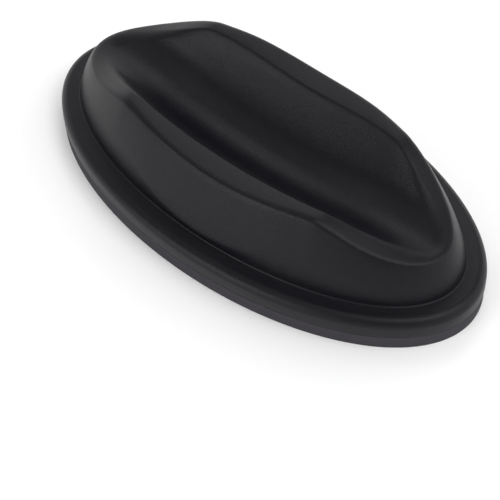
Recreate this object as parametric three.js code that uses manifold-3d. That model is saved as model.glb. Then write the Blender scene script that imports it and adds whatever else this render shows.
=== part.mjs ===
// Front riser block for a bike on a trainer: a low oval block whose lengthwise trough
// holds the front wheel. Millimetres, +X along the wheel, +Z up, the floor at z = 0.
//
// From the floor up: a thick rubber pad, the adhesive sheet that holds it, a closing
// plate with eight countersunk screws, and the moulded shell with its ribs and bosses.

import * as THREE from "three";
import { mergeVertices } from "three/addons/utils/BufferGeometryUtils.js";
import Module from "manifold-3d";

// Driving dimensions of the block.
const blockLength = 320;
const blockWidth = 162;
const fitClearance = 0.3;
const cutOverrun = 2;

// Rubber pad and the adhesive sheet over it.
const padThickness = 10.2;
const padInset = 0.5;
const adhesiveThickness = 0.6;
const adhesiveInset = 1.6;

// Shell: the flange that runs round it, from its lower edge to the foot of the wall.
const flangeSideHeight = 7.4;
const flangeShoulderHeight = 6.4;
const flangeShoulderDepth = 6;
const flangeEdgeBreak = 0.6;
const flangeTopRise = 0.3;
const footInset = 13.3;
const footFillet = 1.1;

// Shell: the rim over the wall. Each height is measured from the floor.
const rimHalfLength = 139.5;
const rimHalfWidth = 55.5;
const rimMidHeight = 67;
const rimPeakHeight = 73;
const rimEndHeight = 48;
const rimPeakPlace = 72;
const rimFoldReach = 5;
const rimFallPower = 1.6;
const rimEdgeBreak = 2.4;
const rimPeakPinch = 5.2;
const rimPinchReach = 16;
const shoulderDrop = 3;
const shoulderPeakDrop = 3.7;
const shoulderReach = 24;

// Shell: the shallow hollow in each side wall, bounded below by a faint crease.
const creaseHeight = 4.5;
const creaseSagRadius = 111;
const creaseHalfLength = 58;
const creaseProud = 0.8;

// Shell: the trough that the wheel stands in.
const wheelRadius = 350;
const troughFloorHeight = 38;
const troughHalfLength = 127;
const troughHalfWidth = 36;
const troughBottomRadius = 28;
const troughWallDegrees = 50;
const lipLength = 5.5;
const lipWidth = 2.5;
const lipPeakSwell = 3.5;
const lipDrop = 1.5;
const spineHalfLength = 95;
const spineHalfWidth = 3;
const rollOverStart = 74;
const rollOverRadius = 120;
const troughEndPower = 2.3;
const troughSidePower = 1.5;

// Shell: what is moulded under it.
const wallThickness = 3;
const ribThickness = 2.2;
const ribPitchShares = { cross: 0.094, long: 0.16 };
const crossRibPairs = 5;
const longRibPairs = 2;
const bossDiameter = 9.5;

// Closing plate and its screws.
const plateThickness = 2.6;
const screwDiameter = 3.6;
const screwLength = 15;
const screwPointLength = 3;
const screwHeadDiameter = 7.4;
const screwHeadHeight = 2.1;
const screwHeadEdge = 0.4;
const screwRecessDiameter = 2.6;
const screwRecessDepth = 1.2;
const screwPlaceShares = [
  { crossRib: 1.5, longRib: 2 },
  { crossRib: 3.5, longRib: 1 },
];

// How finely the curved surfaces are cut into facets.
const stationCount = 96;
const cavityCount = 48;
const troughRingCount = 6;
const boreSides = 16;

const halfLength = blockLength / 2;
const halfWidth = blockWidth / 2;
const shellBase = padThickness + adhesiveThickness;
const plateTop = shellBase + plateThickness;
const sideTop = shellBase + flangeSideHeight;
const shoulderTop = sideTop + flangeShoulderHeight;
const footHeight = shoulderTop + flangeTopRise;
const footHalfLength = halfLength - footInset;
const footHalfWidth = halfWidth - footInset;
const lipHalfLength = troughHalfLength + lipLength;
const lipHalfWidth = troughHalfWidth + lipWidth;
const crossRibPitch = blockLength * ribPitchShares.cross;
const longRibPitch = blockWidth * ribPitchShares.long;

const wasm = await Module();
wasm.setup();

const group = new THREE.Group();

const materials = {
  shell: new THREE.MeshStandardMaterial({ color: 0x343337, roughness: 0.48, metalness: 0 }),
  plate: new THREE.MeshStandardMaterial({ color: 0x2a2a2d, roughness: 0.6, metalness: 0 }),
  adhesive: new THREE.MeshStandardMaterial({ color: 0x1c1b1d, roughness: 0.8, metalness: 0 }),
  pad: new THREE.MeshStandardMaterial({ color: 0x474549, roughness: 0.85, metalness: 0 }),
  screw: new THREE.MeshStandardMaterial({ color: 0xb9bbbf, roughness: 0.35, metalness: 1 }),
};

// A closed mesh becomes a solid that can be joined and cut.
function solidFrom(geometry) {
  const bare = geometry.index ? geometry.clone() : geometry;
  bare.deleteAttribute("normal");
  bare.deleteAttribute("uv");
  const merged = mergeVertices(bare);
  return new wasm.Manifold(new wasm.Mesh({
    numProp: 3,
    vertProperties: new Float32Array(merged.attributes.position.array),
    triVerts: new Uint32Array(merged.index.array),
  }));
}

function geometryFrom(solid) {
  const mesh = solid.getMesh();
  const geometry = new THREE.BufferGeometry();
  geometry.setAttribute("position", new THREE.BufferAttribute(mesh.vertProperties, 3));
  geometry.setIndex(new THREE.BufferAttribute(mesh.triVerts, 1));
  geometry.computeVertexNormals();
  return geometry;
}

function addPiece(name, geometry, material) {
  const mesh = new THREE.Mesh(geometry, material);
  mesh.name = name;
  group.add(mesh);
  return mesh;
}

function smoothStep(share) {
  const held = THREE.MathUtils.clamp(share, 0, 1);
  return held * held * (3 - 2 * held);
}

// One at the place, falling off to nothing over the reach on both sides.
function bell(x, place, reach) {
  return Math.exp(-(((Math.abs(x) - place) / reach) ** 2));
}

// A point of an oval at a station angle. With both powers at 2 it is an ellipse; other
// powers square its sides or point its ends, and x stays a cosine so that rings line up.
function ovalPoint(angle, halfX, halfY, endPower = 2, sidePower = 2) {
  const along = Math.cos(angle);
  const across = Math.max(0, 1 - Math.abs(along) ** endPower) ** (1 / sidePower);
  return { x: halfX * along, y: Math.sign(Math.sin(angle)) * halfY * across };
}

function outlinePoint(angle, inset) {
  return ovalPoint(angle, halfLength - inset, halfWidth - inset);
}

// The rim's height along the block: a dip between the peaks and low ends beyond them.
function rimHeight(x) {
  const distance = Math.abs(x);
  if (distance < rimPeakPlace) {
    return THREE.MathUtils.lerp(rimMidHeight, rimPeakHeight, smoothStep(distance / rimPeakPlace));
  }
  const past = distance - rimPeakPlace;
  const folded = past ** 2 / (past + rimFoldReach);
  const share = Math.min(1, folded / (rimHalfLength - rimPeakPlace));
  return THREE.MathUtils.lerp(rimEndHeight, rimPeakHeight, (1 - share) ** rimFallPower);
}

// The floor follows the wheel, then rolls over towards each end.
function floorHeight(x) {
  const past = Math.max(0, Math.abs(x) - rollOverStart);
  return troughFloorHeight + x ** 2 / (2 * wheelRadius) - past ** 2 / (2 * rollOverRadius);
}

function troughEdgePoint(angle) {
  return ovalPoint(angle, troughHalfLength, troughHalfWidth, troughEndPower, troughSidePower);
}

// The trough's half width at a place along the block.
function troughReach(x) {
  const share = Math.min(1, Math.abs(x) / troughHalfLength);
  return troughHalfWidth * (1 - share ** troughEndPower) ** (1 / troughSidePower);
}

// How far the trough's surface has climbed at a distance from its middle line: a round
// bottom until it stands as steep as the wall, then a straight wall in line with it.
function troughClimb(distance) {
  const wallAngle = THREE.MathUtils.degToRad(troughWallDegrees);
  const bent = Math.min(distance, troughBottomRadius * Math.sin(wallAngle));
  const bottom = troughBottomRadius - Math.sqrt(troughBottomRadius ** 2 - bent ** 2);
  return bottom + (distance - bent) * Math.tan(wallAngle);
}

// The edge lies where the trough's own shape takes it, but always under the rim.
function troughEdgeHeight(x) {
  const own = floorHeight(x) + troughClimb(troughReach(x));
  return Math.min(own, rimHeight(x) - lipDrop);
}

function troughHeight(x, y) {
  const reach = troughReach(x);
  const whole = troughClimb(reach);
  const share = whole > 0 ? troughClimb(Math.min(reach, Math.abs(y))) / whole : 1;
  return THREE.MathUtils.lerp(floorHeight(x), troughEdgeHeight(x), share);
}

// Rings of the shell's outer surface, each a function from a station angle to a point.
function levelRing(inset, z) {
  return (angle) => {
    const { x, y } = outlinePoint(angle, inset);
    return [x, y, z];
  };
}

const shoulderMidShare = Math.SQRT1_2;
const flangeRings = [
  levelRing(flangeEdgeBreak, shellBase),
  levelRing(0, shellBase + flangeEdgeBreak),
  levelRing(0, sideTop),
  levelRing(flangeShoulderDepth * (1 - shoulderMidShare), sideTop + flangeShoulderHeight * shoulderMidShare),
  levelRing(flangeShoulderDepth, shoulderTop),
  levelRing(footInset - footFillet, footHeight),
];

function footRing(angle) {
  const { x, y } = ovalPoint(angle, footHalfLength, footHalfWidth);
  return [x, y, footHeight + footFillet];
}

function shoulderRing(angle) {
  const { x, y } = ovalPoint(angle, rimHalfLength, rimHalfWidth);
  return [x, y, rimHeight(x) - shoulderDrop - shoulderPeakDrop * bell(x, rimPeakPlace, shoulderReach)];
}

// The crease stands a little proud of the straight wall between foot and shoulder.
function creaseRing(angle) {
  const low = footRing(angle);
  const high = shoulderRing(angle);
  const climb = creaseHeight + low[0] ** 2 / (2 * creaseSagRadius);
  const limit = (high[2] - low[2]) / 2;
  const share = Math.min(climb, limit) / (high[2] - low[2]);
  const fade = Math.max(0, 1 - (low[0] / creaseHalfLength) ** 2);
  const point = low.map((value, axis) => THREE.MathUtils.lerp(value, high[axis], share));
  point[1] += Math.sign(point[1]) * creaseProud * fade;
  return point;
}

function rimOuterRing(angle) {
  const { x, y } = ovalPoint(angle, rimHalfLength - rimEdgeBreak, rimHalfWidth - rimEdgeBreak);
  const pinch = rimPeakPinch * bell(x, rimPeakPlace, rimPinchReach);
  return [x, y - Math.sign(y) * pinch, rimHeight(x)];
}

function rimInnerRing(angle) {
  const { x, y } = ovalPoint(angle, lipHalfLength, lipHalfWidth, troughEndPower, troughSidePower);
  const swell = lipPeakSwell * bell(x, rimPeakPlace, rimPinchReach);
  return [x, y + Math.sign(y) * swell, rimHeight(x)];
}

function troughEdgeRing(angle) {
  const { x, y } = troughEdgePoint(angle);
  return [x, y, troughEdgeHeight(x)];
}

// Rings that close in on the trough's spine in even steps.
function troughRing(step) {
  const share = step / troughRingCount;
  return (angle) => {
    const edge = troughEdgePoint(angle);
    const halfX = THREE.MathUtils.lerp(troughHalfLength, spineHalfLength, share);
    const x = edge.x * (halfX / troughHalfLength);
    const spineY = Math.sin(angle) * spineHalfWidth;
    const y = THREE.MathUtils.lerp(edge.y, spineY, share);
    return [x, y, troughHeight(x, y)];
  };
}

// A closed body from rings: strips join each ring to the next, the first ring is closed
// by a flat fan, and the last by strips across it, from each side to the other.
function bodyFromRings(rings, count) {
  const positions = [];
  const faces = [];
  const place = (ring, station) => ring * count + ((station + count) % count);
  for (const ring of rings) {
    for (let station = 0; station < count; station += 1) {
      positions.push(...ring((station / count) * 2 * Math.PI));
    }
  }
  for (let ring = 0; ring < rings.length - 1; ring += 1) {
    for (let station = 0; station < count; station += 1) {
      const a = place(ring, station);
      const b = place(ring, station + 1);
      const c = place(ring + 1, station + 1);
      const d = place(ring + 1, station);
      faces.push(a, b, c, a, c, d);
    }
  }
  const last = rings.length - 1;
  for (const [ring, up] of [[0, false], [last, true]]) {
    for (let step = 0; step < count / 2; step += 1) {
      const corners = [
        place(ring, step),
        place(ring, step + 1),
        place(ring, -step - 1),
        place(ring, -step),
      ];
      if (!up) corners.reverse();
      const [a, b, c, d] = corners;
      if (b !== c) faces.push(a, b, c);
      if (a !== d) faces.push(a, c, d);
    }
  }
  const geometry = new THREE.BufferGeometry();
  geometry.setAttribute("position", new THREE.Float32BufferAttribute(positions, 3));
  geometry.setIndex(faces);
  return geometry;
}

// The same rings moved into the material by the wall, along the surface's own normal.
function insetRing(rings, index, depth) {
  const before = rings[Math.max(0, index - 1)];
  const after = rings[Math.min(rings.length - 1, index + 1)];
  const angleStep = Math.PI / stationCount;
  return (angle) => {
    const here = new THREE.Vector3(...rings[index](angle));
    const round = new THREE.Vector3(...rings[index](angle + angleStep));
    round.sub(new THREE.Vector3(...rings[index](angle - angleStep)));
    const below = new THREE.Vector3(...before(angle)).sub(here);
    const above = new THREE.Vector3(...after(angle)).sub(here);
    const normals = [below.negate(), above]
      .filter((side) => side.length() > 0)
      .map((side) => new THREE.Vector3().crossVectors(round, side).normalize());
    const normal = normals.reduce((sum, each) => sum.add(each), new THREE.Vector3()).normalize();
    const mitre = depth / Math.max(Math.SQRT1_2, normal.dot(normals[0]) || 1);
    here.addScaledVector(normal, -mitre);
    return [here.x, here.y, here.z];
  };
}

function prism(halfX, halfY, low, high) {
  const box = new THREE.BoxGeometry(2 * halfX, 2 * halfY, high - low);
  box.translate(0, 0, (low + high) / 2);
  return box;
}

function standingCylinder(radius, low, high, sides) {
  const cylinder = new THREE.CylinderGeometry(radius, radius, high - low, sides);
  cylinder.rotateX(Math.PI / 2);
  cylinder.translate(0, 0, (low + high) / 2);
  return cylinder;
}

function movedSolid(geometry, x, y) {
  geometry.translate(x, y, 0);
  return solidFrom(geometry);
}

// Where the screws stand: on crossings of the ribs, in all four quarters.
function screwPlaces() {
  const places = [];
  for (const { crossRib, longRib } of screwPlaceShares) {
    for (const side of [-1, 1]) {
      for (const end of [-1, 1]) {
        places.push({ x: end * crossRib * crossRibPitch, y: side * longRib * longRibPitch });
      }
    }
  }
  return places;
}

// Ribs and bosses hang from the shell and end just over the closing plate.
function ribsAndBosses() {
  const low = plateTop + fitClearance;
  const high = rimPeakHeight + cutOverrun;
  let solid = null;
  const join = (next) => {
    solid = solid ? solid.add(next) : next;
  };
  for (let pair = 0; pair < crossRibPairs; pair += 1) {
    for (const end of [-1, 1]) {
      const rib = prism(ribThickness / 2, halfWidth, low, high);
      join(movedSolid(rib, end * (pair + 1 / 2) * crossRibPitch, 0));
    }
  }
  for (let row = -longRibPairs; row <= longRibPairs; row += 1) {
    join(movedSolid(prism(halfLength, ribThickness / 2, low, high), 0, row * longRibPitch));
  }
  for (const { x, y } of screwPlaces()) {
    join(movedSolid(standingCylinder(bossDiameter / 2, low, high, boreSides), x, y));
  }
  return solid;
}

const wallRings = [footRing, creaseRing, shoulderRing, rimOuterRing, rimInnerRing, troughEdgeRing];
const troughRings = Array.from({ length: troughRingCount }, (_, step) => troughRing(step + 1));

function cavitySolid() {
  const surface = [
    levelRing(0, shellBase),
    levelRing(0, sideTop),
    levelRing(flangeShoulderDepth, shoulderTop),
    footRing,
    shoulderRing,
    rimInnerRing,
    ...troughRings,
  ];
  const inner = surface.map((_, index) => insetRing(surface, index, wallThickness));
  const opening = levelRing(wallThickness, shellBase - cutOverrun);
  return solidFrom(bodyFromRings([opening, ...inner.slice(1)], cavityCount));
}

function makeShell() {
  const outer = solidFrom(bodyFromRings([...flangeRings, ...wallRings, ...troughRings], stationCount));
  let shell = outer.subtract(cavitySolid().subtract(ribsAndBosses()));
  const boreRadius = screwDiameter / 2 + fitClearance;
  const boreTop = shellBase + screwLength + 2 * fitClearance;
  for (const { x, y } of screwPlaces()) {
    const bore = standingCylinder(boreRadius, shellBase - cutOverrun, boreTop, boreSides);
    shell = shell.subtract(movedSolid(bore, x, y));
  }
  addPiece("block_shell", geometryFrom(shell), materials.shell);
}

// A flat oval slab between two heights, its edge following the block's outline.
function ovalSlab(inset, low, high, count) {
  return bodyFromRings([levelRing(inset, low), levelRing(inset, high)], count);
}

// The countersink keeps the fit clearance all round the screw's head and shank.
function makeClosingPlate() {
  const inset = wallThickness + fitClearance;
  let plate = solidFrom(ovalSlab(inset, shellBase, plateTop, cavityCount));
  const headRadius = screwHeadDiameter / 2 + fitClearance;
  const shankRadius = screwDiameter / 2 + fitClearance;
  const coneHigh = shellBase + screwHeadHeight + 2 * fitClearance;
  const coneLow = shellBase + screwHeadEdge + fitClearance;
  const profile = [
    new THREE.Vector2(0, shellBase - cutOverrun),
    new THREE.Vector2(headRadius, shellBase - cutOverrun),
    new THREE.Vector2(headRadius, coneLow),
    new THREE.Vector2(shankRadius, coneHigh),
    new THREE.Vector2(shankRadius, plateTop + cutOverrun),
    new THREE.Vector2(0, plateTop + cutOverrun),
  ];
  for (const { x, y } of screwPlaces()) {
    const sink = new THREE.LatheGeometry(profile, boreSides).rotateX(Math.PI / 2);
    plate = plate.subtract(movedSolid(sink, x, y));
  }
  addPiece("closing_plate", geometryFrom(plate), materials.plate);
}

function makeAdhesiveSheet() {
  const sheet = ovalSlab(adhesiveInset, padThickness, shellBase, stationCount);
  addPiece("adhesive_sheet", sheet, materials.adhesive);
}

function makeBasePad() {
  addPiece("base_pad", ovalSlab(padInset, 0, padThickness, stationCount), materials.pad);
}

// A countersunk screw, head down, with a square driver recess.
function screwSolid() {
  const base = shellBase + fitClearance;
  const profile = [
    new THREE.Vector2(0, base),
    new THREE.Vector2(screwHeadDiameter / 2, base),
    new THREE.Vector2(screwHeadDiameter / 2, base + screwHeadEdge),
    new THREE.Vector2(screwDiameter / 2, base + screwHeadHeight),
    new THREE.Vector2(screwDiameter / 2, base + screwLength - screwPointLength - fitClearance),
    new THREE.Vector2(0, base + screwLength - fitClearance),
  ];
  const body = solidFrom(new THREE.LatheGeometry(profile, boreSides).rotateX(Math.PI / 2));
  const recessHalf = screwRecessDiameter / 2 * Math.SQRT1_2;
  const recess = prism(recessHalf, recessHalf, base - cutOverrun, base + screwRecessDepth);
  return body.subtract(solidFrom(recess));
}

function makeScrews() {
  const solid = screwSolid();
  screwPlaces().forEach(({ x, y }, index) => {
    const screw = addPiece(`plate_screw_${index + 1}`, geometryFrom(solid), materials.screw);
    screw.position.set(x, y, 0);
  });
}

makeBasePad();
makeAdhesiveSheet();
makeClosingPlate();
makeScrews();
makeShell();

export default group;
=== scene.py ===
# %% [markdown]
# # A front riser block for a bike on a trainer
#
# The real object is a low oval block, moulded in black plastic. A trainer lifts the rear
# wheel of a bike off the floor, and this block lifts the front one level with it: the tyre
# lies in the lengthwise trough, and the wavy rim keeps it there from both sides. A thick
# rubber pad under the block stops it sliding and spares the floor.
#
# The measured solids come first. They are loaded as a fixed frame, in metres, with the
# floor at z = 0, +X along the wheel and +Z up. Everything made below stands in that frame.

# %% Load the frame
import math

import bpy
import numpy as np
from mathutils import Matrix, Vector


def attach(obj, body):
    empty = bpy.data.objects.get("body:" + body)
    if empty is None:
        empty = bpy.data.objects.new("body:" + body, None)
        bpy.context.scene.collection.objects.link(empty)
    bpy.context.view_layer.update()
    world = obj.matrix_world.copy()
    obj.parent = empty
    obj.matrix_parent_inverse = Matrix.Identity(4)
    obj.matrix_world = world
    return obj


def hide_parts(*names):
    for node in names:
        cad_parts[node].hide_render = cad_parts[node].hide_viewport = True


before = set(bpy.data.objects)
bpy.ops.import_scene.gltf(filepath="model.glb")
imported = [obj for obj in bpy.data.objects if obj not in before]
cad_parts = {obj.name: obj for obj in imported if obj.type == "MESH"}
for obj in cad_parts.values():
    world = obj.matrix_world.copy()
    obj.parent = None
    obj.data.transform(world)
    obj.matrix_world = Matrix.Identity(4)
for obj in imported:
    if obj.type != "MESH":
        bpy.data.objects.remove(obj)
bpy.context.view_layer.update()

# %% [markdown]
# ## Millimetres
#
# The block was measured in millimetres, so its sizes are kept in millimetres here too, and
# a mesh is turned to metres at the moment it is made. A size is named in the cell that
# first needs it.

# %% From millimetres to the frame's metres
MILLIMETRE = 0.001


def metres(*values):
    """Sizes or a place in millimetres, as a list in metres."""
    return [float(value) * MILLIMETRE for value in values]


print("200 mm is", metres(200)[0], "in the frame")

# %% [markdown]
# ## Camera
#
# The block was photographed from above its right end, at about 52 degrees, with a long
# lens, so its far side looks nearly as large as its near side. A camera could be nudged by
# hand until the picture matches. Here it is placed by the direction it looks from, its
# distance and two shifts, because these few numbers could be fitted to the block's
# outlines. A little roll levels it the way the photographer held it.

# %% Camera at the photograph's angle
CAMERA_AZIMUTH = 42.027
CAMERA_ELEVATION = 52.148
CAMERA_ROLL = -2.0
CAMERA_DISTANCE = 1168.57
CAMERA_SIDE_SHIFT = -10.456
CAMERA_UP_SHIFT = -35.765
CAMERA_SEES_TO = 100
PIXELS_PER_MILLIMETRE = 1.57493
PICTURE_WIDTH = 500
SENSOR_WIDTH = 36


def new_object(name, data):
    """An object for a mesh or a camera, at the origin and in the scene."""
    thing = bpy.data.objects.new(name, data)
    bpy.context.scene.collection.objects.link(thing)
    return thing


def camera_axes(azimuth, elevation, roll):
    """The camera's own right, up and back directions, as unit vectors."""
    turn, tilt, twist = (math.radians(angle) for angle in (azimuth, elevation, roll))
    level = math.cos(tilt)
    back = Vector((math.sin(turn) * level, -math.cos(turn) * level, math.sin(tilt)))
    level_right = Vector((math.cos(turn), math.sin(turn), 0))
    level_up = back.cross(level_right)
    right = level_right * math.cos(twist) + level_up * math.sin(twist)
    up = level_up * math.cos(twist) - level_right * math.sin(twist)
    return right, up, back


camera_data = bpy.data.cameras.new("photo_camera")
camera_data.sensor_width = SENSOR_WIDTH
camera_data.lens = PIXELS_PER_MILLIMETRE * CAMERA_DISTANCE / PICTURE_WIDTH * SENSOR_WIDTH
camera_data.clip_end = CAMERA_SEES_TO
camera = new_object("photo_camera", camera_data)
right, up, back = camera_axes(CAMERA_AZIMUTH, CAMERA_ELEVATION, CAMERA_ROLL)
place = (back * CAMERA_DISTANCE + right * CAMERA_SIDE_SHIFT + up * CAMERA_UP_SHIFT) * MILLIMETRE
turned = Matrix((right, up, back)).transposed().to_4x4()
camera.matrix_world = Matrix.Translation(place) @ turned
bpy.context.scene.camera = camera
bpy.context.scene.view_settings.view_transform = "Standard"
print("lens", round(camera_data.lens, 1), "mm, camera at", [round(value, 3) for value in place])

# %% [markdown]
# ## Node trees and colours
#
# Materials, the light and the repeated parts are node trees. They could be drawn in the
# node editor, but a tree written in code shows every value in one place. One helper adds a
# node, sets its values and wires its inputs; a link from a node means its first output.
# Colours are noted as they look on a screen, in sRGB hex, and turned to the linear values
# that the renderer counts in.
#
# A Mix node has several sockets called A, B and Result, one for each kind of value. Those
# for colours are reached by their place in the row.

# %% A helper for nodes and one for colours
MIX_COLOUR_A = 6
MIX_COLOUR_B = 7
MIX_COLOUR_RESULT = 2


def add_node(tree, kind, values=None, links=None, **settings):
    """Adds a node with settings and values, and links it from sockets or from nodes."""
    node = tree.nodes.new(kind)
    for name, value in settings.items():
        setattr(node, name, value)
    for name, value in (values or {}).items():
        node.inputs[name].default_value = value
    for name, sources in (links or {}).items():
        for source in sources if isinstance(sources, list) else [sources]:
            start = source.outputs[0] if isinstance(source, bpy.types.Node) else source
            tree.links.new(start, node.inputs[name])
    return node


def linear_colour(code):
    """An sRGB hex colour as linear red, green, blue and alpha, by the standard's curve."""
    linear = []
    for start in (1, 3, 5):
        share = int(code[start:start + 2], 16) / 255
        linear.append(share / 12.92 if share <= 0.04045 else ((share + 0.055) / 1.055) ** 2.4)
    return (*linear, 1.0)


print("mid grey #808080 is", round(linear_colour("#808080")[0], 3), "in linear light")

# %% [markdown]
# ## Floor
#
# The block stands on a sheet of white paper that runs on behind it. Brighter lamps could
# wash it out to white, but they would light the block too. So the floor is pale and matte,
# and rays from the camera, and mirror-like or see-through rays, find it pure white with a
# trace of glow. It is still a plain diffuse surface, so it keeps the soft shadow of the pad.

# %% The floor
FLOOR_SIZE = 12
FLOOR_COLOUR = "#e8e8e8"
FLOOR_SEEN_COLOUR = "#ffffff"
FLOOR_SEEN_GLOW = 0.02


def floor_material():
    """Matte paper: pale grey to the light on the block, white to the eye."""
    material = bpy.data.materials.new("studio_floor")
    material.use_nodes = True
    tree = material.node_tree
    tree.nodes.clear()
    path = add_node(tree, "ShaderNodeLightPath")
    seen = path.outputs["Is Camera Ray"]
    for kind in ("Is Glossy Ray", "Is Transmission Ray"):
        seen = add_node(
            tree, "ShaderNodeMath", operation="MAXIMUM", links={0: seen, 1: path.outputs[kind]},
        )
    colour = add_node(
        tree, "ShaderNodeMix", data_type="RGBA", links={"Factor": seen}, values={
            MIX_COLOUR_A: linear_colour(FLOOR_COLOUR),
            MIX_COLOUR_B: linear_colour(FLOOR_SEEN_COLOUR),
        },
    )
    matte = add_node(
        tree, "ShaderNodeBsdfDiffuse", links={"Color": colour.outputs[MIX_COLOUR_RESULT]},
    )
    strength = add_node(
        tree, "ShaderNodeMath", operation="MULTIPLY",
        values={1: FLOOR_SEEN_GLOW}, links={0: seen},
    )
    glow = add_node(tree, "ShaderNodeEmission", links={"Strength": strength})
    total = add_node(tree, "ShaderNodeAddShader", links={0: matte, 1: glow})
    add_node(tree, "ShaderNodeOutputMaterial", links={"Surface": total})
    return material


half = FLOOR_SIZE / 2
floor_mesh = bpy.data.meshes.new("floor")
floor_corners = [(-half, -half, 0), (half, -half, 0), (half, half, 0), (-half, half, 0)]
floor_mesh.from_pydata(floor_corners, [], [(0, 1, 2, 3)])
floor_mesh.materials.append(floor_material())
floor = new_object("floor", floor_mesh)
print("floor", FLOOR_SIZE, "m square")

# %% [markdown]
# ## Light
#
# Black plastic shows little colour of its own. What the eye reads as its shape is the room
# mirrored in it: bright bands where a face looks at a soft lamp, dark bands where it looks
# between the lamps. Area lamps could be hung round the block, but a gloss would show their
# hard edges. So the surround itself gives all the light: an even white with soft round
# patches on it. The bright ones are the lamps: one low in front of the near side, one high
# behind, one high over the right end. The dark ones are the gaps: one round the lamp behind,
# one on each side of the lamp in front. Where dark ones overlap, the sum is held at a least
# brightness. Together they light a level face at about strength 1, where a colour looks as
# it is written.

# %% The surround
SURROUND_BASE = 2.17
SURROUND_DARKEST = 0.168
# Each patch: brightness, azimuth, elevation and softness, the last three in degrees.
SURROUND_PATCHES = [
    (-1.55, 228.7, 28.1, 24.6),
    (6.58, 254.9, 16.2, 10.9),
    (-3.60, 114.1, 51.2, 22.0),
    (5.54, 118.9, 49.1, 10.9),
    (3.63, -0.5, 63.3, 12.2),
    (-1.86, 296.3, 18.1, 39.2),
]


def add_patch(tree, direction, so_far, brightness, azimuth, elevation, softness):
    """Adds one round patch, strongest at its middle and softly gone beyond its width."""
    turn, tilt = math.radians(azimuth), math.radians(elevation)
    level = math.cos(tilt)
    middle = (level * math.cos(turn), level * math.sin(turn), math.sin(tilt))
    facing = add_node(
        tree, "ShaderNodeVectorMath", operation="DOT_PRODUCT",
        values={1: middle}, links={0: direction},
    )
    steepness = 1 / math.radians(softness) ** 2
    exponent = add_node(
        tree, "ShaderNodeMath", operation="MULTIPLY_ADD",
        values={1: steepness, 2: -steepness}, links={0: facing.outputs["Value"]},
    )
    fading = add_node(tree, "ShaderNodeMath", operation="EXPONENT", links={0: exponent})
    return add_node(
        tree, "ShaderNodeMath", operation="MULTIPLY_ADD",
        values={1: brightness}, links={0: fading, 2: so_far},
    )


def make_world():
    """The surround as the scene's world, without colour."""
    world = bpy.data.worlds.new("studio_surround")
    bpy.context.scene.world = world
    world.use_nodes = True
    tree = world.node_tree
    tree.nodes.clear()
    direction = add_node(tree, "ShaderNodeTexCoord").outputs["Generated"]
    total = add_node(tree, "ShaderNodeValue")
    total.outputs[0].default_value = SURROUND_BASE
    for patch in SURROUND_PATCHES:
        total = add_patch(tree, direction, total, *patch)
    held = add_node(
        tree, "ShaderNodeMath", operation="MAXIMUM",
        values={1: SURROUND_DARKEST}, links={0: total},
    )
    light = add_node(tree, "ShaderNodeBackground", links={"Strength": held})
    add_node(tree, "ShaderNodeOutputWorld", links={"Surface": light})


make_world()
print("surround with", len(SURROUND_PATCHES), "soft patches")

# %% [markdown]
# ## Materials
#
# Each material is named by what it is and how it is made. A picture of a surface could be
# wrapped round the shape. Noise in the object's own coordinates is used instead, because it
# has no seam, and its scale is worked out from sizes in millimetres. All materials are built
# the same way: a colour that wanders between two tones, a roughness that wanders with it,
# and a fine grain as a bump. Noise seldom leaves the middle half of its range, so that half
# is spread over the whole step from low to high.

# %% How a material is put together
BLOTCH_DETAIL = 3.0
GRAIN_DETAIL = 2.0
NOISE_LOW = 0.25
NOISE_HIGH = 0.75


def make_material(name, tones, roughness, blotch, grain, grain_depth, **shader_values):
    """Tones are two hex colours, roughness a low and a high, the rest sizes in millimetres."""
    material = bpy.data.materials.new(name)
    material.use_nodes = True
    tree = material.node_tree
    shader = tree.nodes["Principled BSDF"]
    coordinates = add_node(tree, "ShaderNodeTexCoord").outputs["Object"]
    wander, relief = (
        add_node(
            tree, "ShaderNodeTexNoise", links={"Vector": coordinates},
            values={"Scale": 1 / (width * MILLIMETRE), "Detail": detail},
        )
        for width, detail in ((blotch, BLOTCH_DETAIL), (grain, GRAIN_DETAIL))
    )
    share, gloss = (
        add_node(
            tree, "ShaderNodeMapRange", links={"Value": wander},
            values={"From Min": NOISE_LOW, "From Max": NOISE_HIGH, "To Min": low, "To Max": high},
        )
        for low, high in ((0, 1), roughness)
    )
    colour = add_node(
        tree, "ShaderNodeMix", data_type="RGBA", links={"Factor": share},
        values={MIX_COLOUR_A: linear_colour(tones[0]), MIX_COLOUR_B: linear_colour(tones[1])},
    )
    bump = add_node(
        tree, "ShaderNodeBump",
        values={"Distance": grain_depth * MILLIMETRE}, links={"Height": relief},
    )
    tree.links.new(colour.outputs[MIX_COLOUR_RESULT], shader.inputs["Base Color"])
    tree.links.new(gloss.outputs[0], shader.inputs["Roughness"])
    tree.links.new(bump.outputs[0], shader.inputs["Normal"])
    for label, value in shader_values.items():
        shader.inputs[label.replace("_", " ")].default_value = value
    return material


# %% [markdown]
# The shell is polypropylene, injection moulded in black with a trace of blue. Its mould is
# spark eroded, which leaves an even fine grain: the mirrored room is blurred, and no sharp
# glint shows. The real grain is finer than a tenth of a millimetre, and is drawn as coarse
# as it needs to be to show. Its pits hide part of the gloss, so the specular level is about
# half the usual one. The closing plate is the same plastic from a plainer, duller mould.

# %% Moulded plastic
moulded_plastic = make_material(
    "black_polypropylene_fine_grain", tones=("#09080f", "#0c0b12"), roughness=(0.36, 0.4),
    blotch=14, grain=0.9, grain_depth=0.2, IOR=1.49, Specular_IOR_Level=0.24,
)
plate_plastic = make_material(
    "black_polypropylene_plain", tones=("#19191b", "#1f1f21"), roughness=(0.5, 0.6),
    blotch=20, grain=1.2, grain_depth=0.01, IOR=1.49, Specular_IOR_Level=0.3,
)
print("plastics:", moulded_plastic.name, plate_plastic.name)

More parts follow.
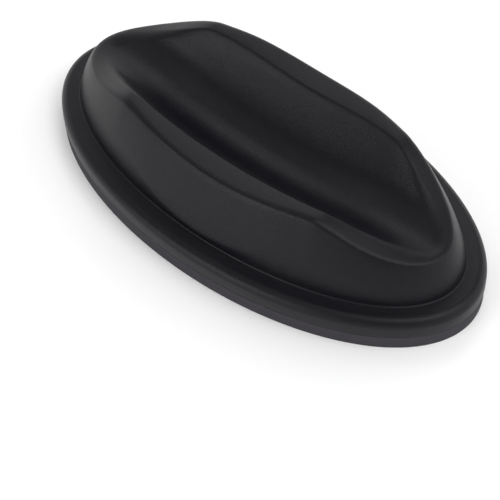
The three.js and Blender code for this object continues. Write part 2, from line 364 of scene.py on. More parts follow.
# %% [markdown]
# The pad is dark grey sheet rubber, sawn or knife cut to the oval. A cut through rubber is
# never glossy: it tears its granules a little, which scatters light and makes the edge paler
# than the moulding above it. The granules are drawn coarser than they are, so that they
# show. The sheet that holds the pad is closed-cell foam with glue on both faces, matte and
# nearly black.

# %% Rubber and foam
cut_rubber = make_material(
    "dark_grey_rubber_cut_edge", tones=("#38363a", "#403e44"), roughness=(0.75, 0.88),
    blotch=3, grain=0.9, grain_depth=0.1, IOR=1.52, Specular_IOR_Level=0.215,
)
foam = make_material(
    "closed_cell_foam_adhesive", tones=("#141415", "#1b1b1d"), roughness=(0.85, 0.95),
    blotch=5, grain=0.8, grain_depth=0.05, IOR=1.4, Specular_IOR_Level=0.25,
)
print("soft materials:", cut_rubber.name, foam.name)

# %% [markdown]
# The plate screws are steel, zinc plated: a bright, slightly milky metal. As a metal it
# keeps the default IOR, and its colour is what it mirrors.

# %% Plated steel
plated_steel = make_material(
    "zinc_plated_steel", tones=("#b4b7bd", "#c3c5ca"), roughness=(0.28, 0.4),
    blotch=2, grain=0.5, grain_depth=0.004, Metallic=1.0,
)
print("metal:", plated_steel.name)

# %% [markdown]
# ## The levels of the block
#
# A rubber pad lies on the floor, a thin foam sheet glues it on, and the moulded shell stands
# on that. The shell begins with a flange: an upright side, a quarter-round shoulder and a
# nearly flat top, from which the wall rises. Each height could be typed where it is used.
# Adding them up once, from the floor, keeps all pieces together when one of them changes.

# %% Levels, added up from the floor
BLOCK_LENGTH = 320
BLOCK_WIDTH = 162
PAD_THICKNESS = 10.2
ADHESIVE_THICKNESS = 0.6
FLANGE_SIDE_HEIGHT = 7.4
FLANGE_SHOULDER_HEIGHT = 6.4
FLANGE_TOP_RISE = 0.3

SHELL_BASE = PAD_THICKNESS + ADHESIVE_THICKNESS
SIDE_TOP = SHELL_BASE + FLANGE_SIDE_HEIGHT
SHOULDER_TOP = SIDE_TOP + FLANGE_SHOULDER_HEIGHT
FOOT_HEIGHT = SHOULDER_TOP + FLANGE_TOP_RISE
print("shell from", round(SHELL_BASE, 1), "mm up, its wall from", round(FOOT_HEIGHT, 1), "mm")

# %% [markdown]
# ## Ovals
#
# Every horizontal line of the block, from the pad to the lip of the trough, is an oval. The
# lines could be drawn as curves and lofted by hand. A formula keeps them in line with each
# other: a station is an angle round the oval, and because x is always a cosine of that
# angle, a strip between two ovals never twists. A higher end power makes an oval's ends
# blunter, and a lower side power pulls its corners in.

# %% An oval, and a bell for soft local changes
def oval_point(angle, half_x, half_y, end_power=2, side_power=2):
    """The x and y of an oval's stations."""
    along = np.cos(angle)
    across = np.clip(1 - np.abs(along) ** end_power, 0, None) ** (1 / side_power)
    return half_x * along, np.sign(np.sin(angle)) * half_y * across


def bell(x, place, reach):
    """One at the place, falling off on both sides, to about a third at the reach."""
    return np.exp(-(((np.abs(x) - place) / reach) ** 2))


print("a bell at its reach:", round(float(bell(1, 0, 1)), 2))

# %% [markdown]
# ## The wavy rim
#
# From the side the rim is a wave: a dip at the middle, a raised corner towards each end, and
# low ends. It could be drawn with a few spline points. Two formulas are used instead, one on
# each side of a raised corner. Both are level there, so the corner has no kink, and the four
# corners come out alike.

# %% The rim's height along the block
RIM_HALF_LENGTH = 139.5
RIM_MID_HEIGHT = 68.5
RIM_PEAK_HEIGHT = 72.9
RIM_END_HEIGHT = 48
RIM_PEAK_PLACE = 72
RIM_FOLD_REACH = 20
RIM_FALL_POWER = 2.0


def smooth_step(share):
    """From nothing to one, level at both ends."""
    held = np.clip(share, 0, 1)
    return held * held * (3 - 2 * held)


def rim_height(x):
    """A dip between the raised corners, and low ends beyond them."""
    distance = np.abs(x)
    risen = smooth_step(distance / RIM_PEAK_PLACE)
    rise = RIM_MID_HEIGHT + (RIM_PEAK_HEIGHT - RIM_MID_HEIGHT) * risen
    past = np.maximum(0, distance - RIM_PEAK_PLACE)
    folded = past ** 2 / (past + RIM_FOLD_REACH)
    share = np.minimum(1, folded / (RIM_HALF_LENGTH - RIM_PEAK_PLACE))
    fall = RIM_END_HEIGHT + (RIM_PEAK_HEIGHT - RIM_END_HEIGHT) * (1 - share) ** RIM_FALL_POWER
    return np.where(distance < RIM_PEAK_PLACE, rise, fall)


for distance in (0, RIM_PEAK_PLACE, RIM_HALF_LENGTH):
    print("rim height", distance, "mm from the middle:", round(float(rim_height(distance)), 1))

# %% [markdown]
# ## The trough
#
# The trough is the tyre's bed. Its section is nearly the same all along: a round bottom that
# runs into straight walls. Its floor follows the wheel's own curve, then rolls over at both
# ends, so the tyre never bears on an edge. A tool of that shape could be cut out of the
# block. Heights over x and y are used here, because rings of any outline can be laid on
# them. TINY keeps a division whole where a length runs out.

# %% The trough's heights
TINY = 1e-9
WHEEL_RADIUS = 350
TROUGH_FLOOR_HEIGHT = 38
TROUGH_HALF_LENGTH = 127
TROUGH_HALF_WIDTH = 36
TROUGH_BOTTOM_RADIUS = 28
TROUGH_WALL_DEGREES = 50
TROUGH_END_POWER = 2.3
TROUGH_SIDE_POWER = 1.75
ROLL_OVER_START = 74
ROLL_OVER_RADIUS = 120
LIP_DROP = 1.5


def trough_floor_height(x):
    """The floor follows the wheel, then rolls over towards each end."""
    past = np.maximum(0, np.abs(x) - ROLL_OVER_START)
    bed = TROUGH_FLOOR_HEIGHT + x ** 2 / (2 * WHEEL_RADIUS)
    return bed - past ** 2 / (2 * ROLL_OVER_RADIUS)


def trough_reach(x):
    """How far from the middle line the trough reaches."""
    share = np.minimum(1, np.abs(x) / TROUGH_HALF_LENGTH)
    return TROUGH_HALF_WIDTH * (1 - share ** TROUGH_END_POWER) ** (1 / TROUGH_SIDE_POWER)


def trough_climb(distance):
    """The climb from the middle line: a round bottom, then a straight wall in line with it."""
    wall_angle = math.radians(TROUGH_WALL_DEGREES)
    bent = np.minimum(distance, TROUGH_BOTTOM_RADIUS * math.sin(wall_angle))
    bottom = TROUGH_BOTTOM_RADIUS - np.sqrt(TROUGH_BOTTOM_RADIUS ** 2 - bent ** 2)
    return bottom + (distance - bent) * math.tan(wall_angle)


def trough_edge_height(x):
    """The edge lies where the trough's own shape takes it, but always under the rim."""
    own = trough_floor_height(x) + trough_climb(trough_reach(x))
    return np.minimum(own, rim_height(x) - LIP_DROP)


def trough_height(x, y):
    """The height of the trough's surface at any place inside its edge."""
    reach = trough_reach(x)
    whole = trough_climb(reach)
    climbed = trough_climb(np.minimum(reach, np.abs(y)))
    share = np.where(whole > 0, climbed / np.maximum(whole, TINY), 1)
    low = trough_floor_height(x)
    return low + (trough_edge_height(x) - low) * share


print("trough edge at the middle:", round(float(trough_edge_height(0)), 1), "mm up")

# %% [markdown]
# ## Rings of the wall
#
# The shell is lofted: each ring is one line that a mould maker would cut, as a function from
# station angles to points. The wall runs from the foot to the shoulder, a soft corner under
# the rim. A faint crease stands a little proud low on the wall and climbs towards both ends,
# so the wall is upright below it and leans in above it, with a slight swell. A subdivided
# cage could be pushed into that shape; a formula gives both sides and both ends the same
# crease. The swell's share times one minus share is a quarter at most, hence its factor.

# %% Foot, shoulder and wall
FOOT_INSET = 13.3
FOOT_FILLET = 0.5
RIM_HALF_WIDTH = 55.5
SHOULDER_DROP = 3
SHOULDER_PEAK_DROP = 3.7
SHOULDER_REACH = 24
CREASE_HEIGHT = 4.5
CREASE_HIGHEST_SHARE = 0.5
CREASE_SAG_RADIUS = 111
CREASE_HALF_LENGTH = 125
CREASE_PROUD = 2.0
CREASE_SOFTNESS = 0.3
WALL_SWELL = 0.9
WALL_SWELL_FACTOR = WALL_SWELL * 4


def unit(vectors):
    """Each vector at length one."""
    return vectors / np.maximum(np.linalg.norm(vectors, axis=1, keepdims=True), TINY)


def level_ring(inset, z):
    """The block's own oval, moved in by an inset, at one height."""
    def ring(angle):
        x, y = oval_point(angle, BLOCK_LENGTH / 2 - inset, BLOCK_WIDTH / 2 - inset)
        return np.stack([x, y, np.full_like(x, z)], -1)
    return ring


def foot_ring(angle):
    """Where the wall rises from the fillet at its foot."""
    return level_ring(FOOT_INSET, FOOT_HEIGHT + FOOT_FILLET)(angle)


def shoulder_ring(angle):
    """The wall's upper edge: it follows the rim, and lies deeper at the raised corners."""
    x, y = oval_point(angle, RIM_HALF_LENGTH, RIM_HALF_WIDTH)
    drop = SHOULDER_DROP + SHOULDER_PEAK_DROP * bell(x, RIM_PEAK_PLACE, SHOULDER_REACH)
    return np.stack([x, y, rim_height(x) - drop], -1)


def wall_ring(share):
    """The wall at a share of its height: straight, but for the crease and the swell."""
    def ring(angle):
        low, high = foot_ring(angle), shoulder_ring(angle)
        rise = high[:, 2] - low[:, 2]
        climb = CREASE_HEIGHT + low[:, 0] ** 2 / (2 * CREASE_SAG_RADIUS)
        bend = np.minimum(climb, rise * CREASE_HIGHEST_SHARE) / rise
        below, above = share / bend, (1 - share) / (1 - bend)
        gap = np.sqrt((below - above) ** 2 + CREASE_SOFTNESS ** 2)
        tent = (below + above - gap) / 2
        fade = np.clip(1 - (low[:, 0] / CREASE_HALF_LENGTH) ** 2, 0, None)
        proud = CREASE_PROUD * fade * tent + WALL_SWELL_FACTOR * share * (1 - share)
        outward = unit((low - high) * (1, 1, 0))
        return low + (high - low) * np.reshape(share, (-1, 1)) + outward * proud[:, None]
    return ring


quarter = np.array([math.pi / 2])
lean = foot_ring(quarter)[0, 1] - shoulder_ring(quarter)[0, 1]
print("at the middle the wall leans in by", round(float(lean), 1), "mm")

# %% [markdown]
# ## Rings of the rim, the lip and the trough
#
# The rim is a narrow band round the trough, pinched in a little at the raised corners. Its
# inner ring tops the lip, the short face between rim and trough. The lip could be one width
# all round, but then it would be steep where it is tall. So its slope is fixed, and its
# width follows from its height. From the trough's edge, rings shrink towards a spine along
# the middle line, which closes them.

# %% Rim, lip and trough
RIM_EDGE_BREAK = 2.4
RIM_PEAK_PINCH = 0.8
RIM_PINCH_REACH = 16
LIP_LENGTH = 5.5
LIP_HALF_LENGTH = TROUGH_HALF_LENGTH + LIP_LENGTH
LIP_WALL_DEGREES = 60
SPINE_HALF_LENGTH = 95
SPINE_HALF_WIDTH = 3


def rim_outer_ring(angle):
    """The rim's outer edge."""
    half_x, half_y = RIM_HALF_LENGTH - RIM_EDGE_BREAK, RIM_HALF_WIDTH - RIM_EDGE_BREAK
    x, y = oval_point(angle, half_x, half_y)
    pinch = RIM_PEAK_PINCH * bell(x, RIM_PEAK_PLACE, RIM_PINCH_REACH)
    return np.stack([x, y - np.sign(y) * pinch, rim_height(x)], -1)


def trough_outline(angle, half_x):
    """The trough's blunt oval, at its own width and any length."""
    return oval_point(angle, half_x, TROUGH_HALF_WIDTH, TROUGH_END_POWER, TROUGH_SIDE_POWER)


def rim_inner_ring(angle):
    """The lip climbs from the trough's edge to the rim, a little steeper than the trough."""
    x, y = trough_outline(angle, LIP_HALF_LENGTH)
    run = (rim_height(x) - trough_edge_height(x)) / math.tan(math.radians(LIP_WALL_DEGREES))
    outward = np.sign(y) * np.sqrt(np.abs(y) / TROUGH_HALF_WIDTH)
    return np.stack([x, y + outward * run, rim_height(x)], -1)


def trough_edge_ring(angle):
    """The line where the lip ends and the trough begins."""
    x, y = trough_outline(angle, TROUGH_HALF_LENGTH)
    return np.stack([x, y, trough_edge_height(x)], -1)


def trough_ring(share):
    """A ring a share of the way in from the trough's edge to its spine."""
    def ring(angle):
        x, y = trough_outline(angle, TROUGH_HALF_LENGTH)
        half_x = TROUGH_HALF_LENGTH + (SPINE_HALF_LENGTH - TROUGH_HALF_LENGTH) * share
        x = x * half_x / TROUGH_HALF_LENGTH
        y = y + (np.sin(angle) * SPINE_HALF_WIDTH - y) * share
        return np.stack([x, y, trough_height(x, y)], -1)
    return ring


band = rim_outer_ring(quarter)[0, 1] - rim_inner_ring(quarter)[0, 1]
print("at the middle the rim is", round(float(band), 1), "mm wide")

# %% [markdown]
# ## From rings to a fine surface
#
# A moulding has no sharp corner: steel is never cut to a knife edge, and plastic shrinks
# away from one. The radii catch the light, so they are real geometry. A bevel modifier has
# one width everywhere. Here a corner becomes a short curve whose ends lie a set reach along
# the faces beside it, and the reach may change along the block. Where two corners lie close,
# as at the foot's fillet and the lip, one curve takes both. It is the smooth curve of
# drawing programs, pulled by its handles, and the handles are the corners themselves.

# %% Rounding the profile's corners
LONGEST_REACH = 0.5


def along_face(corner, other, reach):
    """Points at a reach from a corner towards another ring, at most half way."""
    side = other - corner
    length = np.linalg.norm(side, axis=1, keepdims=True)
    share = np.reshape(reach, (-1, 1)) / np.maximum(length, TINY)
    return corner + side * np.minimum(LONGEST_REACH, share)


def rounded(before, corners, after, reaches, steps):
    """Rows of a curve that takes one corner, or two at once, with them as its handles."""
    first = along_face(corners[0], before, reaches[0])
    handles = [first, *corners, along_face(corners[-1], after, reaches[1])]
    last = len(handles) - 1
    rows = []
    for t in (step / steps for step in range(steps + 1)):
        weights = [math.comb(last, k) * t ** k * (1 - t) ** (last - k) for k in range(last + 1)]
        rows.append(sum(weight * handle for weight, handle in zip(weights, handles)))
    return rows


# %% [markdown]
# ## The flange
#
# The flange spreads the load over the pad. Its lower edge is broken, its side is upright and
# its shoulder a quarter round, drawn with a sine and a cosine. All rows have the same
# stations, fine enough that the outline shows no straight pieces.

# %% The flange's rows
STATIONS = 600
FLANGE_EDGE_BREAK = 0.6
FLANGE_SHOULDER_DEPTH = 6
LOWER_EDGE_REACH = 0.4
CORNER_STEPS = 5
SHOULDER_STEPS = 10

angles = np.arange(STATIONS) / STATIONS * 2 * np.pi


def flange_rows():
    """The flange: a broken lower edge, an upright side, a quarter round and a flat top."""
    rows = [level_ring(FLANGE_EDGE_BREAK, SHELL_BASE)(angles)]
    side_low = level_ring(0, SHELL_BASE + FLANGE_EDGE_BREAK)(angles)
    side_high = level_ring(0, SIDE_TOP)(angles)
    edge_reaches = (LOWER_EDGE_REACH, LOWER_EDGE_REACH)
    rows += rounded(rows[0], [side_low], side_high, edge_reaches, CORNER_STEPS)
    for step in range(SHOULDER_STEPS + 1):
        turn = step / SHOULDER_STEPS * math.pi / 2
        inset = FLANGE_SHOULDER_DEPTH * (1 - math.cos(turn))
        rows.append(level_ring(inset, SIDE_TOP + FLANGE_SHOULDER_HEIGHT * math.sin(turn))(angles))
    return rows


outer_rows = flange_rows()
print("flange:", len(outer_rows), "rows of", STATIONS, "stations")

# %% [markdown]
# ## The wall, the rim and the lip
#
# From the flange the profile turns up in a tight fillet, which shows as a fine light line
# round the foot. It goes on up the wall, over the shoulder and the rim, and down the lip
# into the trough. The shoulder and the rim have a curve each, softest at the four raised
# corners, and the lip is softest at the trough's ends, where the tyre leaves the block. The
# trough's rings close the surface.

# %% The rows above the flange
WALL_STEPS = 24
RIM_STEPS = 12
TROUGH_ROWS = 34
LIP_ROWS = 4
FOOT_REACH = 0.4
SHOULDER_WALL_REACH = 2.5
SHOULDER_RIM_REACH = 1.4
RIM_OUTER_REACH = 1.3
RIM_TOP_REACH = 2.8
PEAK_SOFTNESS = 2
LIP_TOP_REACH = 1.5
LIP_TROUGH_REACH = 2.0
LIP_END_SOFTNESS = 4
LIP_END_REACH = 30


def wall_rows(top_of_flange):
    """The foot's fillet, the wall, the rim and the lip, in rows."""
    foot_line = level_ring(FOOT_INSET - FOOT_FILLET, FOOT_HEIGHT)(angles)
    foot, shoulder = foot_ring(angles), shoulder_ring(angles)
    rim_outer, rim_inner = rim_outer_ring(angles), rim_inner_ring(angles)
    edge, trough_start = trough_edge_ring(angles), trough_ring(LIP_ROWS / TROUGH_ROWS)(angles)
    soft = PEAK_SOFTNESS * bell(shoulder[:, 0], RIM_PEAK_PLACE, SHOULDER_REACH)
    length = np.linalg.norm(shoulder - foot, axis=1)
    first, last = FOOT_REACH / length, 1 - (SHOULDER_WALL_REACH + soft) / length
    shares = [first + (last - first) * step / WALL_STEPS for step in range(WALL_STEPS + 1)]
    wall = [wall_ring(share)(angles) for share in shares]
    foot_reaches = (FOOT_REACH, FOOT_REACH)
    rows = rounded(top_of_flange, [foot_line, foot], wall[1], foot_reaches, CORNER_STEPS)
    rows += wall[1:-1]
    shoulder_reaches = (SHOULDER_WALL_REACH + soft, SHOULDER_RIM_REACH + soft)
    rows += rounded(wall[-2], [shoulder], rim_outer, shoulder_reaches, RIM_STEPS)
    rim_reaches = (RIM_OUTER_REACH + soft, RIM_TOP_REACH + soft / 2)
    rows += rounded(shoulder, [rim_outer], rim_inner, rim_reaches, RIM_STEPS)
    end_soft = LIP_END_SOFTNESS * bell(rim_inner[:, 0], LIP_HALF_LENGTH, LIP_END_REACH)
    lip_reaches = (LIP_TOP_REACH + end_soft, LIP_TROUGH_REACH + end_soft)
    rows += rounded(rim_outer, [rim_inner, edge], trough_start, lip_reaches, RIM_STEPS)
    return rows


outer_rows += wall_rows(outer_rows[-1])
outer_rows += [
    trough_ring(row / TROUGH_ROWS)(angles) for row in range(LIP_ROWS + 1, TROUGH_ROWS + 1)
]
print("outer surface:", len(outer_rows), "rows")

# %% [markdown]
# ## One closed body
#
# A cut comes out clean only through a closed body. So the rows are joined by strips of
# four-cornered faces, and the first and last row are closed by flat strips across, whose
# stations already lie opposite each other.

# %% The outer surface as one body
def closed_body(name, rows):
    """A closed mesh from rows of points: strips between rows, and flat ends across."""
    count = len(rows[0])
    points = np.concatenate(rows) * MILLIMETRE
    stations = np.arange(count)
    following = (stations + 1) % count
    faces = []
    for row in range(len(rows) - 1):
        low, high = row * count, (row + 1) * count
        corners = [stations + low, following + low, following + high, stations + high]
        faces.extend(np.stack(corners, -1).tolist())
    for row, upward in ((0, False), (len(rows) - 1, True)):
        for step in range(count // 2):
            corners = [step, step + 1, (count - step - 1) % count, (count - step) % count]
            corners = list(dict.fromkeys(row * count + corner for corner in corners))
            faces.append(corners if upward else corners[::-1])
    mesh = bpy.data.meshes.new(name)
    mesh.from_pydata(points.tolist(), [], faces)
    mesh.validate()
    return new_object(name, mesh)


shell = closed_body("riser_shell", outer_rows)
print("outer surface:", len(shell.data.polygons), "faces")

# %% [markdown]
# ## The hollow inside
#
# A moulding is never solid: thick plastic cools slowly and sinks. The block is a shell about
# three millimetres thick, open below. A Solidify modifier could give it that wall, but ribs
# have to be left standing inside, so the hollow is a body of its own. It is made from the
# same rings, each moved into the material along the surface's normal. A ring on a corner
# moves a little further, as a mitre does, but never more than the least value allows.

# %% The cavity
WALL_THICKNESS = 3
CUT_OVERRUN = 2
INSIDE_TROUGH_ROWS = 6
MITRE_LEAST = math.sqrt(0.5)


def inset_row(rings, index, depth):
    """One ring moved into the material by a depth, with its corner mitred."""
    turn = math.pi / STATIONS
    here = rings[index](angles)
    around = rings[index](angles + turn) - rings[index](angles - turn)
    sides = []
    if index > 0:
        sides.append(here - rings[index - 1](angles))
    if index < len(rings) - 1:
        sides.append(rings[index + 1](angles) - here)
    normals = [unit(np.cross(around, side)) for side in sides]
    normal = unit(sum(normals))
    lean = np.sum(normal * normals[0], axis=1, keepdims=True)
    return here - normal * depth / np.maximum(MITRE_LEAST, lean)


inside_rings = [
    level_ring(0, SHELL_BASE), level_ring(0, SIDE_TOP),
    level_ring(FLANGE_SHOULDER_DEPTH, SHOULDER_TOP), foot_ring, shoulder_ring, rim_inner_ring,
]
inside_rings += [trough_ring((row + 1) / INSIDE_TROUGH_ROWS) for row in range(INSIDE_TROUGH_ROWS)]
inside_rows = [level_ring(WALL_THICKNESS, SHELL_BASE - CUT_OVERRUN)(angles)]
inside_rows += [
    inset_row(inside_rings, index, WALL_THICKNESS) for index in range(1, len(inside_rings))
]
cavity = closed_body("cavity", inside_rows)
print("cavity:", len(cavity.data.polygons), "faces")

# %% [markdown]
# ## Geometry node trees
#
# What repeats is made by a node tree that is fed sizes and points. Each tree has named inputs
# at one end, and at the other real geometry in place of instances, with one material on it.
# What it shows then becomes the piece's own mesh, and the modifier is removed, so that later
# steps find a plain mesh.

# %% Opening and closing a tree, and making a piece with it
def geometry_tree(name, inputs):
    """A tree with the named inputs and a material, and the outputs of its input node."""
    tree = bpy.data.node_groups.new(name, "GeometryNodeTree")
    tree.is_modifier = True
    for label, kind in {**inputs, "Material": "Material"}.items():
        tree.interface.new_socket(label, in_out="INPUT", socket_type="NodeSocket" + kind)
    tree.interface.new_socket("Geometry", in_out="OUTPUT", socket_type="NodeSocketGeometry")
    return tree, add_node(tree, "NodeGroupInput").outputs


def close_tree(tree, given, geometry, points=None):
    """Ends a tree: a copy on each point, if there are points, made real, in one material."""
    if points is not None:
        geometry = add_node(
            tree, "GeometryNodeInstanceOnPoints", links={"Points": points, "Instance": geometry},
        )
    real = add_node(tree, "GeometryNodeRealizeInstances", links={"Geometry": geometry})
    painted = add_node(
        tree, "GeometryNodeSetMaterial", links={"Geometry": real, "Material": given["Material"]},
    )
    add_node(tree, "NodeGroupOutput", links={"Geometry": painted})


def made_plain(piece):
    """What the modifiers show becomes the piece's own mesh, and the modifiers go."""
    depsgraph = bpy.context.evaluated_depsgraph_get()
    evaluated = piece.evaluated_get(depsgraph)
    mesh = bpy.data.meshes.new_from_object(evaluated, depsgraph=depsgraph)
    piece.modifiers.clear()
    piece.data = mesh
    return piece


def grown(name, tree, values, points=()):
    """A piece made by a tree from named values, lengths in metres, on optional points."""
    start = bpy.data.meshes.new(name)
    start.from_pydata([tuple(point) for point in points], [], [])
    piece = new_object(name, start)
    modifier = piece.modifiers.new(tree.name, "NODES")
    modifier.node_group = tree
    for socket in tree.interface.items_tree:
        if socket.in_out == "INPUT" and socket.name in values:
            modifier[socket.identifier] = values[socket.name]
    return made_plain(piece)


# %% [markdown]
# ## Ribs
#
# Ribs carry the weight of bike and rider from the trough to the floor, at an even pitch in
# both directions. An array modifier could repeat one rib; a tree has the first place, the
# step and the size as inputs, so one tree serves both directions. The ribs stand taller than
# the hollow: only what lies inside it will count.

# %% Ribs in both directions
PLATE_THICKNESS = 2.6
FIT_CLEARANCE = 0.3
RIB_THICKNESS = 2.2
RIB_PITCH_SHARES = {"cross": 0.094, "long": 0.16}
CROSS_RIB_PAIRS = 5
LONG_RIB_PAIRS = 2
SLAB_FACES = 6


def rib_row_tree():
    """A row of upright slabs of one size, a step apart."""
    inputs = {"Rows": "Int", "First": "Vector", "Step": "Vector", "Size": "Vector"}
    tree, given = geometry_tree("rib_row", inputs)
    line = add_node(
        tree, "GeometryNodeMeshLine",
        links={"Count": given["Rows"], "Start Location": given["First"], "Offset": given["Step"]},
    )
    slab = add_node(tree, "GeometryNodeMeshCube", links={"Size": given["Size"]})
    close_tree(tree, given, slab, line)
    return tree


rib_low = SHELL_BASE + PLATE_THICKNESS + FIT_CLEARANCE
rib_high = RIM_PEAK_HEIGHT + CUT_OVERRUN
rib_middle, rib_rise = (rib_low + rib_high) / 2, rib_high - rib_low
cross_pitch = BLOCK_LENGTH * RIB_PITCH_SHARES["cross"]
long_pitch = BLOCK_WIDTH * RIB_PITCH_SHARES["long"]
rib_row = rib_row_tree()
cross_ribs = grown("cross_ribs", rib_row, {
    "Rows": 2 * CROSS_RIB_PAIRS, "Step": metres(cross_pitch, 0, 0),
    "First": metres((0.5 - CROSS_RIB_PAIRS) * cross_pitch, 0, rib_middle),
    "Size": metres(RIB_THICKNESS, BLOCK_WIDTH, rib_rise), "Material": moulded_plastic,
})
long_ribs = grown("long_ribs", rib_row, {
    "Rows": 2 * LONG_RIB_PAIRS + 1, "Step": metres(0, long_pitch, 0),
    "First": metres(0, -LONG_RIB_PAIRS * long_pitch, rib_middle),
    "Size": metres(BLOCK_LENGTH, RIB_THICKNESS, rib_rise), "Material": moulded_plastic,
})
rib_counts = [len(ribs.data.polygons) // SLAB_FACES for ribs in (cross_ribs, long_ribs)]
print("ribs across and along:", rib_counts)

# %% [markdown]
# ## Bosses and bores
#
# Screws go into round bosses where ribs cross, two in each quarter of the block. The tree
# stands a post on every point it is fed, and it is used twice, once for the bosses and once
# for the bores in them. A post is placed by its middle, as the ribs are, so that the flat
# ends of both lie in one plane and the cut leaves no slivers there.

# %% Posts on the screws' points
ROUND_SIDES = 48
BOSS_DIAMETER = 9.5
SCREW_DIAMETER = 3.6
SCREW_LENGTH = 15
SCREW_PLACES = [{"cross": 1.5, "long": 2}, {"cross": 3.5, "long": 1}]


def raised(tree, geometry, height):
    """Geometry moved up by a height."""
    lift = add_node(tree, "ShaderNodeCombineXYZ", links={"Z": height})
    return add_node(
        tree, "GeometryNodeTransform", links={"Geometry": geometry, "Translation": lift},
    )


def post_tree():
    """An upright post on every point of a mesh, between two heights."""
    inputs = {"Points": "Geometry", "Radius": "Float", "Low": "Float", "High": "Float"}
    tree, given = geometry_tree("posts", inputs)
    height = add_node(
        tree, "ShaderNodeMath", operation="SUBTRACT", links={0: given["High"], 1: given["Low"]},
    )
    middle = add_node(
        tree, "ShaderNodeMath", operation="MULTIPLY_ADD",
        values={1: 0.5}, links={0: height, 2: given["Low"]},
    )
    post = add_node(
        tree, "GeometryNodeMeshCylinder", values={"Vertices": ROUND_SIDES},
        links={"Radius": given["Radius"], "Depth": height},
    )
    close_tree(tree, given, raised(tree, post, middle), given["Points"])
    return tree


screw_points = [
    metres(end * share["cross"] * cross_pitch, side * share["long"] * long_pitch, 0)
    for share in SCREW_PLACES for side in (-1, 1) for end in (-1, 1)
]
posts = post_tree()
bosses = grown("bosses", posts, {
    "Radius": BOSS_DIAMETER / 2 * MILLIMETRE, "Low": rib_low * MILLIMETRE,
    "High": rib_high * MILLIMETRE, "Material": moulded_plastic,
}, screw_points)
bores = grown("bores", posts, {
    "Radius": (SCREW_DIAMETER / 2 + FIT_CLEARANCE) * MILLIMETRE,
    "Low": (SHELL_BASE - CUT_OVERRUN) * MILLIMETRE,
    "High": (SHELL_BASE + SCREW_LENGTH + 2 * FIT_CLEARANCE) * MILLIMETRE,
    "Material": moulded_plastic,
}, screw_points)
print("posts on", len(screw_points), "points:", len(bosses.data.polygons), "faces of bosses")

# %% [markdown]
# ## Hollowing the shell
#
# Ribs and bosses are first taken away from the cavity, so that they stay standing when the
# cavity is taken away from the shell. Joining ribs to a hollow shell would work too, but
# each would first have to be trimmed to the wall. Surfaces are shaded smooth, with sharp
# edges only where faces really meet at an angle.

# %% The shell is hollowed
SHARPEST_SMOOTH = math.radians(32)


def cut(body, tools):
    """Takes each tool away from the body, then throws the tools away."""
    for tool in tools:
        modifier = body.modifiers.new(tool.name, "BOOLEAN")
        modifier.operation = "DIFFERENCE"
        modifier.solver = "MANIFOLD"
        modifier.object = tool
    made_plain(body)
    for tool in tools:
        bpy.data.objects.remove(tool)


def finish_surface(piece, material):
    """One material, smooth shading, and sharp edges only at real corners."""
    mesh = piece.data
    mesh.materials.clear()
    mesh.materials.append(material)
    mesh.polygons.foreach_set("material_index", [0] * len(mesh.polygons))
    mesh.shade_smooth()
    mesh.set_sharp_from_angle(angle=SHARPEST_SMOOTH)


cut(cavity, [cross_ribs, long_ribs, bosses])
cut(shell, [cavity, bores])
finish_surface(shell, moulded_plastic)
print("hollow shell:", len(shell.data.polygons), "faces")

# %% [markdown]
# ## The rubber pad
#
# A die or a knife cuts the pad from sheet, so its shape follows one rule: an oval, pushed
# straight up by the sheet's thickness. Rows could make it, as they made the shell; a tree
# states the rule itself. Pushing a face up leaves its old place open, so the same oval,
# turned to face down, closes it.

# %% A tree for an oval cut from sheet
WELD_DISTANCE = 1e-6


def oval_sheet_tree():
    """An oval of half the given size, pushed up by a thickness and closed below."""
    inputs = {"Half Size": "Vector", "Thickness": "Float", "Stations": "Int"}
    tree, given = geometry_tree("oval_sheet", inputs)
    disc = add_node(
        tree, "GeometryNodeMeshCircle", fill_type="NGON",
        values={"Radius": 1.0}, links={"Vertices": given["Stations"]},
    )
    oval = add_node(
        tree, "GeometryNodeTransform", links={"Geometry": disc, "Scale": given["Half Size"]},
    )
    up = add_node(tree, "ShaderNodeCombineXYZ", values={"Z": 1.0})
    block = add_node(
        tree, "GeometryNodeExtrudeMesh", mode="FACES", values={"Individual": False},
        links={"Mesh": oval, "Offset": up, "Offset Scale": given["Thickness"]},
    )
    underside = add_node(tree, "GeometryNodeFlipFaces", links={"Mesh": oval})
    both = add_node(tree, "GeometryNodeJoinGeometry", links={"Geometry": [block, underside]})
    welded = add_node(
        tree, "GeometryNodeMergeByDistance",
        values={"Distance": WELD_DISTANCE}, links={"Geometry": both},
    )
    close_tree(tree, given, welded)
    return tree


oval_sheet = oval_sheet_tree()
print("oval sheet tree:", len(oval_sheet.nodes), "nodes")

# %% [markdown]
# The cut corners are barely rounded, because rubber gives way under the knife. Here one
# small width is right all round, so a bevel modifier does it.

# %% The pad
PAD_INSET = 0.5
PAD_STATIONS = 600
PAD_EDGE_ROUND = 0.45
PAD_EDGE_STEPS = 3

pad_half_size = (BLOCK_LENGTH / 2 - PAD_INSET, BLOCK_WIDTH / 2 - PAD_INSET, BLOCK_WIDTH)
pad = grown("rubber_pad", oval_sheet, {
    "Half Size": metres(*pad_half_size), "Thickness": PAD_THICKNESS * MILLIMETRE,
    "Stations": PAD_STATIONS, "Material": cut_rubber,
})
rounding = pad.modifiers.new("cut_corner", "BEVEL")
rounding.width = PAD_EDGE_ROUND * MILLIMETRE
rounding.segments = PAD_EDGE_STEPS
rounding.limit_method = "ANGLE"
made_plain(pad)
finish_surface(pad, cut_rubber)
print("pad:", len(pad.data.polygons), "faces")

